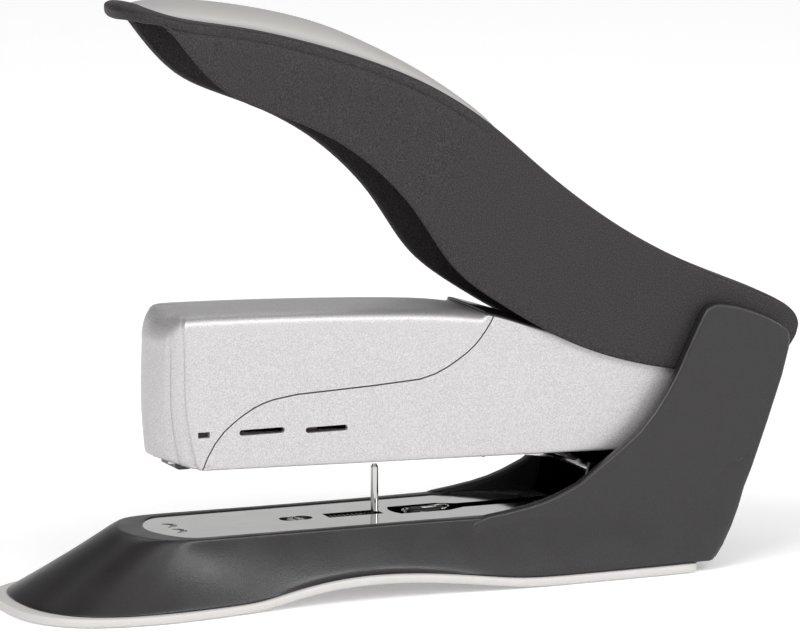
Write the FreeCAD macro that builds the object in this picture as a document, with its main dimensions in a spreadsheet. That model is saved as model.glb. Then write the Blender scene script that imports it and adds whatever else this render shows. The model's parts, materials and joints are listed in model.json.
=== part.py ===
import FreeCAD, Part
import math
import os

os.makedirs("parts", exist_ok=True)

# Heavy-duty stapler.  X runs along its length with the nose at -X, +Z is up and Y = 0 is the
# plane of symmetry.  The origin is on the ground, under the middle of the overall length.

Vector = FreeCAD.Vector
Rotation = FreeCAD.Rotation
Placement = FreeCAD.Placement

doc = FreeCAD.newDocument("stapler")

SIZES = {
    # base
    "sole_thick": 3.4, "sole_blank": 9.4, "housing_top": 25.0, "shell_wall": 2.6,
    "cheek_width": 52.0, "channel_width": 43.2, "channel_floor": 12.5,
    "plate_thick": 1.2, "plate_drop": 0.4, "plate_half": 20.0,
    "groove_depth": 0.7, "slot_half": 3.6,
    "frame_wall": 1.5, "frame_width": 40.6, "leaf_width": 9.0, "leaf_gauge": 0.7,
    "leaf_rod_x": 67.5, "leaf_rod_z": 36.4, "leaf_rod_radius": 1.6,
    # pivots
    "pivot_x": 105.0, "pivot_z": 42.0, "handle_pin_x": 126.0, "handle_pin_z": 79.0,
    "lever_pin_x": 20.0, "lever_pin_z": 72.0, "pin_radius": 3.0, "lever_pin_radius": 2.5,
    "pin_length": 41.8, "bore_clearance": 0.05, "clip_radius": 4.6, "clip_thick": 0.55,
    # paper guide
    "post_radius": 1.35, "post_x": -7.5, "post_top": 41.4, "post_bottom": 20.6,
    "slider_width": 15.0, "rack_height": 1.9,
    # head
    "head_width": 36.6, "head_wall": 2.2, "seam": 0.3, "head_frame_width": 24.0,
    "magazine_tilt": 2.1, "magazine_length": 144.0, "magazine_width": 14.4,
    "magazine_height": 10.0, "magazine_gauge": 0.8, "rod_radius": 1.25,
    "blade_width": 12.4, "blade_thick": 1.2, "lever_width": 6.0,
    "rear_cover_width": 31.6,
    # handle
    "handle_roof": 3.0, "liner_width": 30.0, "liner_gauge": 1.5,
}


def make_sheet():
    """One spreadsheet holds the driving sizes, each under its own alias."""
    sheet = doc.addObject("Spreadsheet::Sheet", "dims")
    for row, (alias, value) in enumerate(SIZES.items(), start=1):
        sheet.set("A%d" % row, alias)
        sheet.set("B%d" % row, str(value))
        sheet.setAlias("B%d" % row, alias)
    doc.recompute()
    return sheet


dims = make_sheet()


def size(alias):
    return float(dims.get(alias))


# ---------------------------------------------------------------- helpers

PLANE_TURN = {
    "plan": Rotation(),
    "side": Rotation(Vector(1, 0, 0), 90),
    "cross": Rotation(Vector(1, 1, 1), 120),
}
PLANE_NORMAL = {"plan": Vector(0, 0, 1), "side": Vector(0, -1, 0), "cross": Vector(1, 0, 0)}
PLANE_ROLE = {"plan": "XY_Plane", "side": "XZ_Plane", "cross": "YZ_Plane"}


def trace(sketch, path):
    """Draw a closed outline: a pair ends a straight edge, ("arc", via, end) an arc and
    ("curve", point, ...) a smooth run."""
    here = Vector(*path[0], 0)
    for step in path[1:] + [path[0]]:
        if step[0] == "arc":
            end = Vector(*step[2], 0)
            sketch.addGeometry(Part.Arc(here, Vector(*step[1], 0), end))
        elif step[0] == "curve":
            end = Vector(*step[-1], 0)
            curve = Part.BSplineCurve()
            curve.interpolate([here] + [Vector(*point, 0) for point in step[1:]])
            sketch.addGeometry(curve)
        else:
            end = Vector(*step, 0)
            if end.distanceToPoint(here) > 1e-6:
                sketch.addGeometry(Part.LineSegment(here, end))
        here = end


def free_sketch(name, plane, path, offset=0.0):
    sketch = doc.addObject("Sketcher::SketchObject", name)
    sketch.Placement = Placement(PLANE_NORMAL[plane] * offset, PLANE_TURN[plane])
    trace(sketch, path)
    return sketch


def slab(name, plane, path, length, offset=0.0, symmetric=True):
    """An outline extruded along its plane's normal; length is an expression on the sheet."""
    body = doc.addObject("Part::Extrusion", name)
    body.Base = free_sketch(name + "_outline", plane, path, offset)
    body.DirMode = "Normal"
    body.Solid = True
    body.Symmetric = symmetric
    body.setExpression("LengthFwd", length)
    return body


def loft(name, sections, ruled=False):
    body = doc.addObject("Part::Loft", name)
    body.Sections = sections
    body.Solid = True
    body.Ruled = ruled
    return body


def box(name, low, high):
    body = doc.addObject("Part::Box", name)
    body.Length, body.Width, body.Height = [high[i] - low[i] for i in range(3)]
    body.Placement = Placement(Vector(*low), Rotation())
    return body


def rod(name, start, end, radius):
    """A round bar between two points; radius is an expression on the sheet."""
    axis = Vector(*end) - Vector(*start)
    body = doc.addObject("Part::Cylinder", name)
    body.setExpression("Radius", radius)
    body.Height = axis.Length
    body.Placement = Placement(Vector(*start), Rotation(Vector(0, 0, 1), axis))
    return body


def combine(kind, name, shapes):
    body = doc.addObject("Part::Multi" + kind, name)
    body.Shapes = shapes
    return body


def cut(name, base, tools):
    tool = tools[0] if len(tools) == 1 else combine("Fuse", name + "_tools", tools)
    body = doc.addObject("Part::Cut", name)
    body.Base = base
    body.Tool = tool
    return body


def helix(name, centre, axis, radius, wire, turns, length):
    """A coil spring of round wire along an axis."""
    path = Part.makeHelix(length / turns, length, radius)
    ring = Part.Wire(Part.makeCircle(wire, Vector(radius, 0, 0), Vector(0, 1, 0)))
    coil = Part.Wire(path.Edges).makePipeShell([ring], True, True)
    spring = doc.addObject("Part::Feature", name)
    spring.Shape = coil
    spring.Placement = Placement(Vector(*centre), Rotation(Vector(0, 0, 1), Vector(*axis)))
    return spring


class DesignBody:
    """A PartDesign body whose sketches sit on its own origin planes."""

    def __init__(self, name):
        self.body = doc.addObject("PartDesign::Body", name)
        self.name = name
        self.steps = 0

    def sketch(self, plane, path, offset=0.0):
        self.steps += 1
        label = "%s_sketch%d" % (self.name, self.steps)
        sketch = self.body.newObject("Sketcher::SketchObject", label)
        origin = self.body.Origin.OriginFeatures
        support = [item for item in origin if item.Role == PLANE_ROLE[plane]][0]
        sketch.AttachmentSupport = [(support, "")]
        sketch.MapMode = "FlatFace"
        sketch.AttachmentOffset = Placement(Vector(0, 0, offset), Rotation())
        trace(sketch, path)
        return sketch

    def feature(self, kind, plane, path, length, offset=0.0, symmetric=True, reverse=False):
        sketch = self.sketch(plane, path, offset)
        doc.recompute()
        before = self.body.Shape.Volume if self.body.Tip else 0.0
        step = self.body.newObject("PartDesign::" + kind, "%s_%s%d" % (self.name, kind, self.steps))
        step.Profile = sketch
        step.SideType = "Symmetric" if symmetric else "One side"
        step.Reversed = reverse
        step.setExpression("Length", length)
        doc.recompute()
        if abs(self.body.Shape.Volume - before) < 1e-6:
            raise RuntimeError("%s step %d changes nothing" % (self.name, self.steps))
        return step

    def pad(self, plane, path, length, **where):
        return self.feature("Pad", plane, path, length, **where)

    def pocket(self, plane, path, length, **where):
        return self.feature("Pocket", plane, path, length, **where)


def rectangle(x0, y0, x1, y1):
    return [(x0, y0), (x1, y0), (x1, y1), (x0, y1)]


def circle_path(x, y, radius):
    return [(x - radius, y), ("arc", (x, y + radius), (x + radius, y)),
            ("arc", (x, y - radius), (x - radius, y))]


def slot_path(x0, x1, y, half):
    """A slot with round ends, its straight sides along x."""
    return [(x0, y - half), (x1, y - half), ("arc", (x1 + half, y), (x1, y + half)),
            (x0, y + half), ("arc", (x0 - half, y), (x0, y - half))]


# ---------------------------------------------------------------- base

# Half outlines from above, nose tip to rear: (x, half width).
SOLE_PLAN = [(-142.0, 0), (-140.4, 17), (-134.5, 28.2), (-124.9, 35.4), (-112, 38.8), (-96, 39.2),
             (-79, 36.8), (-60, 33.2), (-20, 32.0), (38, 31.0), (104.5, 28.6)]
# The black housing leans in from its lower edge to the rim of the deck:
# (lower x, lower half width, upper x, upper half width).
HOUSING_STATIONS = [(-138.6, 0, -100.5, 0), (-137.0, 15, -99.6, 9), (-131.0, 27, -96.0, 17.5),
                    (-122.0, 34.2, -90.0, 22.6), (-106.0, 37.8, -80.0, 24.4),
                    (-82.0, 36.0, -66.0, 24.4), (-60.0, 32.2, -50.0, 24.2),
                    (-15.0, 31.0, -10.0, 24.0), (40.0, 30.0, 40.0, 25.0), (104.5, 27.6, 104.5, 26.0)]
FLARE = 1.6
# The arch under the waist, along the sole's lower edge: (x, height).
ARCH = [(-61.6, 0), (-46, 2.9), (-26.3, 5.7), (-5.8, 5.7), (14, 4.0), (28, 1.6), (38, 0)]


def plan_path(half_outline):
    """A closed plan: one smooth run round the nose from rear to rear, and a straight rear edge."""
    near = [(x, -y) for x, y in reversed(half_outline)]
    far = [(x, y) for x, y in half_outline if y]
    return [near[0], tuple(["curve"] + near[1:] + far)]


def housing_section(name, height, inset=0.0):
    """The housing's plan at one height; the sides lean in fast at first, then more slowly."""
    low = size("sole_thick")
    share = (height - low) / (size("housing_top") - low)
    outline = []
    for low_x, low_half, high_x, high_half in HOUSING_STATIONS:
        x = low_x + (high_x - low_x) * share
        half = high_half + (low_half - high_half) * (1 - share) ** FLARE
        outline.append((x + inset * (1 if x < 0 else -1), max(half - inset, 0) if low_half else 0))
    return free_sketch(name, "plan", plan_path(outline), height)


def housing_loft(name, inset, heights):
    sections = [housing_section("%s_%d" % (name, i), height, inset) for i, height in enumerate(heights)]
    return loft(name, sections)


# The upright cheek, seen from the side.
CHEEK = [(14.0, 8.0), (104.0, 3.4), (109.0, 3.4),
         ("curve", (115.2, 14.5), (120.2, 28.5), (125.6, 42.0), (132.2, 60.5), (136.0, 73.0),
          (137.0, 79.0)),
         ("curve", (134.0, 84.7), (122.2, 90.4), (115.8, 92.4), (110.5, 93.3), (106.4, 92.3),
          (104.2, 89.8)),
         ("curve", (98.2, 77.9), (90.7, 63.8), (80.3, 50.6), (65.3, 39.4), (50.4, 30.9), (39.0, 27.7),
          (26.0, 25.8), (14.0, 25.0))]


SCREW_PLACES = [(68, -13), (68, 13), (96, -13), (96, 13)]


def make_housing():
    top = size("housing_top")
    low = size("sole_thick")
    middle = low + (top - low) * 0.4
    outer = housing_loft("housing_outer", 0.0, [low, middle, top])
    cheeks = slab("cheek_slab", "side", CHEEK, "dims.cheek_width")
    blank = combine("Fuse", "housing_blank", [outer, cheeks])
    wall = size("shell_wall")
    deck = top - size("plate_drop") - size("plate_thick")
    hollow = housing_loft("housing_hollow", wall, [low - 1.0, middle, deck - wall])
    front_room = box("front_room", (-140, -40, 0), (54, 40, deck - wall))
    rear_room = box("rear_room", (58, -40, 0), (104, 40, size("channel_floor") - 3.0))
    front_hollow = combine("Common", "front_hollow", [hollow, front_room])
    rear_hollow = combine("Common", "rear_hollow", [hollow, rear_room])
    channel = slab("channel_cut", "side",
                   [(58, size("channel_floor")), (112, size("channel_floor")),
                    ("curve", (117, 30), (124, 47), (126, 54)), (150, 60), (150, 110), (10, 110),
                    (10, 25.01),
                    (58, 25.01)],
                   "dims.channel_width")
    half = size("plate_half") + 0.15
    recess = slab("plate_recess", "plan", plate_outline(half, 0.15),
                  "dims.plate_thick + dims.plate_drop + 1",
                  deck, symmetric=False)
    window = box("guide_window", (-34, -8, 15), (58, 8, 26))
    arch = slab("housing_arch", "side",
                [(ARCH[0][0], -1), (ARCH[0][0], low), tuple(["curve"] + [(x, y + low) for x, y in ARCH[1:]]),
                 (ARCH[-1][0], -1)], "90")
    screw_holes = [rod("screw_hole_%d" % i, (x, y, 4), (x, y, 14), "1.6")
                   for i, (x, y) in enumerate(SCREW_PLACES)]
    housing = cut("base_housing", blank,
                  [front_hollow, rear_hollow, channel, recess, window, arch] + screw_holes)
    return housing


def make_sole():
    """A flat pad with the spade-shaped foot, arched under the waist."""
    body = DesignBody("base_sole")
    body.pad("plan", plan_path(SOLE_PLAN), "dims.sole_blank", symmetric=False)
    thick = size("sole_thick")
    upper = [(x, y + thick) for x, y in ARCH]
    body.pocket("side", [(-150, thick), upper[0], tuple(["curve"] + upper[1:]), (120, thick), (120, 20),
                         (-150, 20)], "90")
    body.pocket("side", [(ARCH[0][0], -1), ARCH[0], tuple(["curve"] + ARCH[1:]), (ARCH[-1][0], -1)], "90")
    return body.body


def plate_outline(half, grow=0.0):
    """The steel plate from above: round nose, two legs with slanted ends."""
    nose = -90.6 - grow
    return [(38, -half), (50 + grow, -10), (50 + grow, 10), (38, half), (-79, half),
            ("curve", (-86.0, half * 0.72), (nose, 0), (-86.0, -half * 0.72), (-79, -half))]


def kidney(side):
    """One of the two curved clinch grooves, a fat comma across the plate."""
    return [(-81.4, side * 1.2), ("arc", (-78.2, side * 4.6), (-81.6, side * 8.4)),
            ("arc", (-82.6, side * 7.6), (-81.8, side * 6.8)),
            ("arc", (-80.6, side * 4.7), (-82.2, side * 2.4)),
            ("arc", (-82.4, side * 1.4), (-81.4, side * 1.2))]


def make_plate():
    """The polished base plate with its clinch grooves, screw hole, guide slot and rear cut-out."""
    body = DesignBody("base_plate")
    top = size("housing_top") - size("plate_drop")
    bottom = top - size("plate_thick")
    body.pad("plan", plate_outline(size("plate_half")), "dims.plate_thick", offset=bottom, symmetric=False)
    for side in (-1, 1):
        body.pocket("plan", kidney(side), "dims.groove_depth", offset=top, symmetric=False)
    slot = size("slot_half")
    through = "dims.plate_thick * 3"
    body.pocket("plan", slot_path(-39.0, -34.0, 0, 3.4), through, offset=bottom)
    body.pocket("plan", rectangle(-25.5, -slot, -5.5, slot), through, offset=bottom)
    body.pocket("plan", [(0, -6.4), (17.5, -6.8), (24, -slot), (52, -slot), (52, slot), (24, slot),
                         (17.5, 6.8), (0, 6.4), ("arc", (-1.8, 0), (0, -6.4))], through, offset=bottom)
    return body.body


def make_plate_screw():
    """The adjusting screw seen through the plate's oblong hole."""
    top = size("housing_top") - size("plate_drop") - size("plate_thick")
    head = rod("plate_screw_head", (-36.5, 0, top), (-36.5, 0, top + 0.9), "3.0")
    slit = box("plate_screw_slit", (-37.0, -4, top + 0.4), (-36.0, 4, top + 2))
    return cut("plate_screw", head, [slit])


def make_base_frame():
    """The steel channel between the cheeks that carries the head's pivot."""
    body = DesignBody("base_frame")
    floor = size("channel_floor")
    gauge = size("frame_wall")
    body.pad("side", [(60, floor), (111, floor), (116.5, 38), (112, 53), (98, 53), (84, 41), (72, 40),
                      (64, 40),
                      (60, 24)], "dims.frame_width")
    body.pocket("side", [(50, floor + gauge), (130, floor + gauge), (130, 70), (50, 70)],
                "dims.frame_width - 2 * dims.frame_wall")
    body.pocket("side", circle_path(size("pivot_x"), size("pivot_z"),
                                    size("pin_radius") + size("bore_clearance")),
                "60")
    return body.body


def make_head_pin():
    y = size("pin_length") / 2
    x, z = size("pivot_x"), size("pivot_z")
    return rod("head_pivot_pin", (x, -y, z), (x, y, z), "dims.pin_radius")


def make_clips():
    """Retaining rings on both ends of the head's pivot pin."""
    x, z = size("pivot_x"), size("pivot_z")
    inside = size("frame_width") / 2 + 0.02
    outside = inside + size("clip_thick")
    rings = []
    for side in (-1, 1):
        ring = rod("clip_disc_%d" % side, (x, side * inside, z), (x, side * outside, z), "dims.clip_radius")
        hole = rod("clip_hole_%d" % side, (x, side * 15, z), (x, side * 30, z), "dims.pin_radius")
        rings.append(cut("clip_ring_%d" % side, ring, [hole]))
    return group("pivot_clips", rings)


def group(name, members):
    """Identical fasteners in one node, each still its own solid."""
    body = doc.addObject("Part::Compound", name)
    body.Links = members
    return body


def make_frame_screws():
    floor = size("channel_floor")
    seat = floor - 3.0
    screws = []
    for i, (x, y) in enumerate(SCREW_PLACES):
        shank = rod("screw_shank_%d" % i, (x, y, seat), (x, y, floor), "1.45")
        head = rod("screw_head_%d" % i, (x, y, seat - 2.0), (x, y, seat), "2.8")
        screws.append(combine("Fuse", "screw_%d" % i, [shank, head]))
    return group("frame_screws", screws)


def make_lift_leaf():
    """The bright leaf spring that lifts the head: anchored on a cross rod, its tip under the magazine."""
    x, z = size("leaf_rod_x"), size("leaf_rod_z")
    top = [(58, 39.9), (50, 41.6), (41, 42.7), (34, 43.0)]
    under = [(x, y - size("leaf_gauge")) for x, y in reversed(top)]
    body = DesignBody("lift_leaf")
    eye = size("leaf_rod_radius") + size("leaf_gauge")
    body.pad("side", [(x - eye * 0.8, z + eye * 0.6), tuple(["curve"] + top + [(31.5, 42.2)]), (31.2, 41.5),
                      tuple(["curve"] + under + [(x - eye * 0.9, z - eye * 0.4)]),
                      ("arc", (x + eye * 0.7, z - eye * 0.7), (x + eye * 0.6, z + eye * 0.8)),
                      ("arc", (x - 0.2, z + eye), (x - eye * 0.8, z + eye * 0.6))], "dims.leaf_width")
    body.pocket("side", circle_path(x, z, size("leaf_rod_radius") + 0.01), "60")
    return body.body


def make_leaf_rod():
    """The cross rod between the frame's walls that holds the leaf's eye."""
    half = size("frame_width") / 2 - size("frame_wall")
    x, z = size("leaf_rod_x"), size("leaf_rod_z")
    return rod("leaf_rod", (x, -half, z), (x, half, z), "dims.leaf_rod_radius")


def make_rack():
    """The toothed strip under the guide slot that the paper guide clicks along."""
    body = DesignBody("guide_rack")
    top = size("housing_top") - size("plate_drop") - size("plate_thick") - 0.05
    body.pad("plan", [(-33.8, -7.8), (-30, -7.8), (-30, -3.5), (-1, -3.5), (-1, -1.7), (-27, -1.7),
                      (-27, 1.7),
                      (-1, 1.7), (-1, 3.5), (-30, 3.5), (-30, 7.8), (-33.8, 7.8)],
             "dims.rack_height", offset=top, symmetric=False, reverse=True)
    pitch = 1.6
    for number in range(14):
        x = -24.6 + pitch * number
        body.pocket("side", [(x, top + 0.1), (x + pitch * 0.6, top + 0.1), (x + pitch * 0.3, top - 0.8)],
                    "30")
    return body.body


# ---------------------------------------------------------------- paper guide

def make_slider():
    """The slider under the plate, with a thumb tab that shows in the rear cut-out."""
    body = DesignBody("guide_slider")
    body.pad("side", [(-12, 16.4), (27, 16.4), (27, 21.2), (24, 21.2), (24, 24.2), (22, 26.4), (17.4, 26.4),
                      (17.4, 21.2), (-12, 21.2)], "dims.slider_width")
    for side in (-1, 1):
        body.pocket("side", [(10, 21.2), (30, 21.2), (30, 30), (10, 30)], "6",
                    offset=side * 6.2)
    body.pocket("plan", circle_path(size("post_x"), 0, size("post_radius") + size("bore_clearance")), "60")
    return body.body


def make_post():
    """The bright paper-stop pin with a short tapered tip."""
    x = size("post_x")
    radius = size("post_radius")
    taper = 1.0
    shank = rod("post_shank", (x, 0, size("post_bottom")), (x, 0, size("post_top") - taper),
                "dims.post_radius")
    tip = doc.addObject("Part::Cone", "post_tip")
    tip.setExpression("Radius1", "dims.post_radius")
    tip.Radius2 = radius * 0.6
    tip.Height = taper
    tip.Placement = Placement(Vector(x, 0, size("post_top") - taper), Rotation())
    return combine("Fuse", "guide_post", [shank, tip])


# ---------------------------------------------------------------- head

# The head's upper outline along its middle and along the start of its rounded shoulder: (x, z).
CROWN = [(-94.0, 101.8), (-76.0, 101.6), (-55.0, 101.1), (-30.0, 100.1), (-15.0, 99.3), (0.0, 98.4),
         (14.0, 97.2),
         (22.0, 95.9), (31.0, 93.2), (45.0, 88.2), (70.0, 80.0), (112.0, 68.0)]
SHOULDER_DROP = 4.2
SHOULDER_TURN = 3.4
HEAD_BOTTOM = 38.0


def head_section(name, x, top, inset):
    """A slice across the head: upright sides, rounded shoulders and a slightly crowned top."""
    half = size("head_width") / 2 - inset
    top = top - inset
    shoulder = top - SHOULDER_DROP
    turn = half - SHOULDER_TURN
    path = [(-half, HEAD_BOTTOM), (half, HEAD_BOTTOM), (half, shoulder),
            ("arc", (half - 0.9, shoulder + 2.6), (turn, top - 0.4)),
            ("arc", (0, top), (-turn, top - 0.4)), ("arc", (0.9 - half, shoulder + 2.6), (-half, shoulder))]
    return free_sketch(name, "cross", path, x)


# The inner volume runs this far below the head's open bottom.
OPEN_BOTTOM = 12.0
HEAD_FRONT = -91.2


def head_solid(name, inset):
    """The head's full volume, less an inset all round."""
    sections = [head_section("%s_%d" % (name, i), x, top, inset) for i, (x, top) in enumerate(CROWN)]
    sleeve = loft(name + "_sleeve", sections, ruled=True)
    half = size("head_width") / 2 - inset
    bow = half - 1.6
    plan = slab(name + "_plan", "plan",
                [(112, -half), (112, half), (-82, half),
                 ("arc", (-84.4 + inset, half - 0.8), (-85.4 + inset, bow - 1.2)),
                 ("arc", (-90.8 + inset, 0), (-85.4 + inset, 1.2 - bow)),
                 ("arc", (-84.4 + inset, 0.8 - half), (-82, -half))], "260")
    front = HEAD_FRONT + inset
    top = CROWN[1][1] - inset
    sunk = OPEN_BOTTOM if inset else 0.0
    rear = 112.0 - inset
    side = slab(name + "_side", "side",
                [(-80.0, 47.4 - sunk), (84.0, 43.0 - sunk), (100, 42.4 - sunk), (rear, 50 - sunk),
                 (rear, 110),
                 (-73, 110), (-74.0, top), ("curve", (-79.5, top - 1.0), (-84.6, top - 4.6),
                                            (front + 0.9, top - 12)),
                 ("curve", (front, 74), (front + 0.9, 52.2 - sunk)), (front + 5.6, 47.9 - sunk)], "200")
    return combine("Common", name, [sleeve, plan, side])


# The seam between the head's upper cover and its lower side panels.
SEAM = [(-78.8, 46.0), ("curve", (-76.0, 53.8), (-68.0, 64.8), (-61.8, 70.2), (-51.3, 73.8), (-38.6, 74.6)),
        (3.5, 75.9), ("curve", (12.7, 77.7), (22.0, 82.3), (27.5, 87.8), (31.4, 95.0))]


def make_head_shells():
    """The silver cover over the front and top, and the two side panels behind the seam."""
    outer = head_solid("head_outer", 0.0)
    inner = head_solid("head_inner", size("head_wall"))
    rear_gap = box("head_rear_gap", (74, -16.1, 36), (125, 16.1, 90))
    shell = cut("head_shell", outer, [inner, rear_gap])
    seam = size("seam")
    lower = SEAM + [(40, 120), (140, 120), (140, 30), (-78.8, 30)]
    grown = [(SEAM[0][0] - seam, 46.0)] + [shift(step, -seam * 0.8, seam * 0.6) for step in SEAM[1:]]
    grown = grown + [(39, 120), (140, 120), (140, 30), (-78.8 - seam, 30)]
    window = box("nose_window", (-100, -8.15, 40), (-84, 8.15, 90.6))
    dot = box("level_dot", (-79.1, -25, 58.3), (-74.9, 0, 61.0))
    dot_far = box("level_dot_far", (-79.1, 0, 58.3), (-74.9, 25, 61.0))
    cover = cut("head_cover", shell, [slab("panel_room", "side", grown, "60"), window, dot, dot_far])
    region = slab("panel_region", "side", lower, "60")
    pivot_hole = rod("panel_pivot_hole", (size("pivot_x"), -25, size("pivot_z")),
                     (size("pivot_x"), 25, size("pivot_z")), "dims.pin_radius + 0.3")
    slots = [slab("panel_slot_%d" % i, "side", slot_path(x0, x1, z, 0.75), "60")
             for i, (x0, x1, z) in enumerate([(-63.4, -48.4, 59.3), (-39.4, -25.4, 58.5)])]
    panels = []
    for side, label in ((-1, "side_panel_left"), (1, "side_panel_right")):
        low, high = sorted((0, side * 30))
        half_room = box("half_room_%s" % label, (-120, low, 20), (140, high, 130))
        piece = combine("Common", "panel_piece_" + label, [shell, region, half_room])
        panels.append(cut(label, piece, [pivot_hole] + slots))
    return [cover] + panels


def shift(step, dx, dz):
    """An outline step moved by dx, dz."""
    if step[0] == "curve":
        return tuple(["curve"] + [(x + dx, z + dz) for x, z in step[1:]])
    return (step[0] + dx, step[1] + dz)


def make_head_frame():
    """The steel frame inside the head, with arms up to the handle's pin."""
    body = DesignBody("head_frame")
    px, pz = size("handle_pin_x"), size("handle_pin_z")
    body.pad("side", [(-76, 61), (-76, 88), (-71, 94.0), (-25, 94.0), (20, 84), (40, 77), (95, 64),
                      (116, 78), ("arc", (px, pz + 7), (px + 7, pz)), (px + 5, pz - 6), (113, 35), (98, 35),
                      (92, 44), (62, 45), (62, 48), (-60, 61)], "dims.head_frame_width")
    inside = "dims.head_frame_width - 2 * dims.frame_wall"
    body.pocket("side", [(-80, 90), (-62, 90), (-62, 93), (-30, 93), (-30, 90), (18, 78), (40, 70),
                         (92, 58),
                         (140, 90), (140, 20), (80, 20), (80, 47), (61, 47), (50, 30), (-80, 30)], inside)
    body.pocket("side", [(-80, 89.9), (-62.1, 89.9), (-62.1, 100), (-80, 100)], inside)
    body.pocket("side", [(-29.9, 89.9), (18, 77.9), (40, 69.9), (92, 57.9), (140, 89.9), (140, 100),
                         (-29.9, 100)],
                inside)
    for alias, radius in (("pivot", "pin_radius"), ("handle_pin", "pin_radius"),
                          ("lever_pin", "lever_pin_radius")):
        body.pocket("side", circle_path(size(alias + "_x"), size(alias + "_z"),
                                        size(radius) + size("bore_clearance")), "60")
    return body.body


def make_rear_cover():
    """The black bridge over the open rear of the head, under the handle."""
    outline = [(26.8, 95.0), (27.6, 95.8), ("curve", (33, 93.9), (46, 89.4), (70, 81.6), (96, 74.4)),
               (96, 72.9),
               ("curve", (70, 80.3), (46, 88.2), (32, 93.2))]
    return slab("rear_cover", "side", outline, "dims.rear_cover_width")


def make_simple_pins():
    half = size("pin_length") / 2
    hx, hz = size("handle_pin_x"), size("handle_pin_z")
    lx, lz = size("lever_pin_x"), size("lever_pin_z")
    lever_half = size("head_frame_width") / 2 + 0.4
    handle_pin = rod("handle_pin", (hx, -half, hz), (hx, half, hz), "dims.pin_radius")
    lever_pin = rod("lever_pin", (lx, -lever_half, lz), (lx, lever_half, lz), "dims.lever_pin_radius")
    return [handle_pin, lever_pin]


def make_power_spring():
    """The heavy coil that drives the striker."""
    return helix("power_spring", (-46, 0, 71.6), (0, 0, 1), 6.0, 1.1, 5, 20.0)


def make_handle_spring():
    """The coil round the handle's pin that throws the handle back up."""
    return helix("handle_spring", (size("handle_pin_x"), -8.0, size("handle_pin_z")), (0, 1, 0), 4.3, 0.7,
                 8, 16.0)


# ---------------------------------------------------------------- magazine, in its own tilted frame

MAGAZINE_PLACE = Placement(Vector(-86.0, 0, 48.4), Rotation(Vector(0, 1, 0), size("magazine_tilt")))


def place_magazine_piece(body):
    body.Placement = MAGAZINE_PLACE
    return body


def make_magazine():
    """An open-topped steel channel; its floor stops short of the staple exit."""
    length = size("magazine_length")
    height = size("magazine_height")
    gauge = size("magazine_gauge")
    body = DesignBody("magazine_channel")
    body.pad("side", rectangle(0.6, 0, length, height), "dims.magazine_width")
    body.pocket("side", rectangle(-1, gauge, length - gauge, height + 1),
                "dims.magazine_width - 2 * dims.magazine_gauge")
    body.pocket("side", rectangle(-1, -1, 3.6, gauge + 0.01),
                "dims.magazine_width - 2 * dims.magazine_gauge")
    body.pocket("cross", circle_path(0, 5, size("rod_radius")), "60", offset=length)
    return place_magazine_piece(body.body)


def make_rod():
    length = size("magazine_length")
    return place_magazine_piece(tilted_rod("pusher_rod", 45.0, length, 5.0))


def tilted_rod(name, x0, x1, z):
    body = DesignBody(name)
    body.pad("cross", circle_path(0, z, size("rod_radius")), "%g" % (x1 - x0), offset=x0, symmetric=False)
    return body.body


def make_pusher():
    """The block on the rod that feeds the staples, with a flag that shows in the rear slot."""
    body = DesignBody("pusher")
    body.pad("side", [(46, 1.1), (56, 1.1), (56, 9.4), (54, 9.4), (54, 12.2), (46, 12.2)], "11.6")
    body.pocket("cross", circle_path(0, 5, size("rod_radius") + size("bore_clearance")), "200")
    for side in (-1, 1):
        body.pad("side", rectangle(46.2, 10.4, 53.8, 12.0), "2.4", offset=side * 6.9)
    return place_magazine_piece(body.body)


def make_nose_panel():
    """The centre strip of the nose, which comes forward with the magazine."""
    body = slab("nose_block", "side", [(-94, 49.4), (-85.6, 48.4), (-85.6, 90.2), (-94, 90.2)], "15.9")
    outer = doc.getObject("head_outer")
    return combine("Common", "nose_panel", [body, outer])


def make_nose_foot():
    """The black presser under the nose, just behind the staple exit."""
    body = DesignBody("nose_foot")
    body.pad("side", [(-82.9, 46.6), (-81.5, 45.9), (-77.6, 45.9), (-77.6, 48.0), (-82.9, 48.2)], "13.0")
    return body.body


# ---------------------------------------------------------------- striker and lever

def make_striker():
    body = DesignBody("striker_blade")
    half = size("blade_width") / 2
    body.pad("cross", [(-half, 61.7), (half, 61.7), (half, 79.4), (half - 2.5, 82.4), (2.5 - half, 82.4),
                       (-half, 79.4)], "dims.blade_thick", offset=-84.5, symmetric=False)
    body.pocket("cross", rectangle(-3.5, 63.2, 3.5, 71.6), "20", offset=-84.5)
    return body.body


def make_lever():
    """The rocking lever: the handle pushes its rear down and its front lifts the striker."""
    x, z = size("lever_pin_x"), size("lever_pin_z")
    body = DesignBody("lift_lever")
    body.pad("side", [(-84.2, 65.5), (-72, 63.4), (-30, 63.4), (16, 66.5), (x + 3, z - 5.2), (54, 73.0),
                      (55, 78.0),
                      (50, 80.0), (x, z + 5.2), (-34, 69.6), (-38, 69.6), (-38, 70.2), (-54, 70.2),
                      (-54, 69.6),
                      (-84.2, 68.5)], "dims.lever_width")
    body.pad("side", rectangle(-53.5, 69.0, -38.5, 70.2), "15")
    body.pocket("side", circle_path(x, z, size("lever_pin_radius") + size("bore_clearance")), "30")
    return body.body


def make_release():
    """The push button at the head's rear that frees the magazine."""
    body = DesignBody("magazine_release")
    body.pad("cross", [(-6, 51.5), (6, 51.5), (6, 57.5), (-6, 57.5)], "5.5", offset=114.5, symmetric=False)
    body.pad("cross", [(-4, 53), (4, 53), (4, 56), (-4, 56)], "8", offset=106.5, symmetric=False)
    return body.body


# ---------------------------------------------------------------- handle

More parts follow.
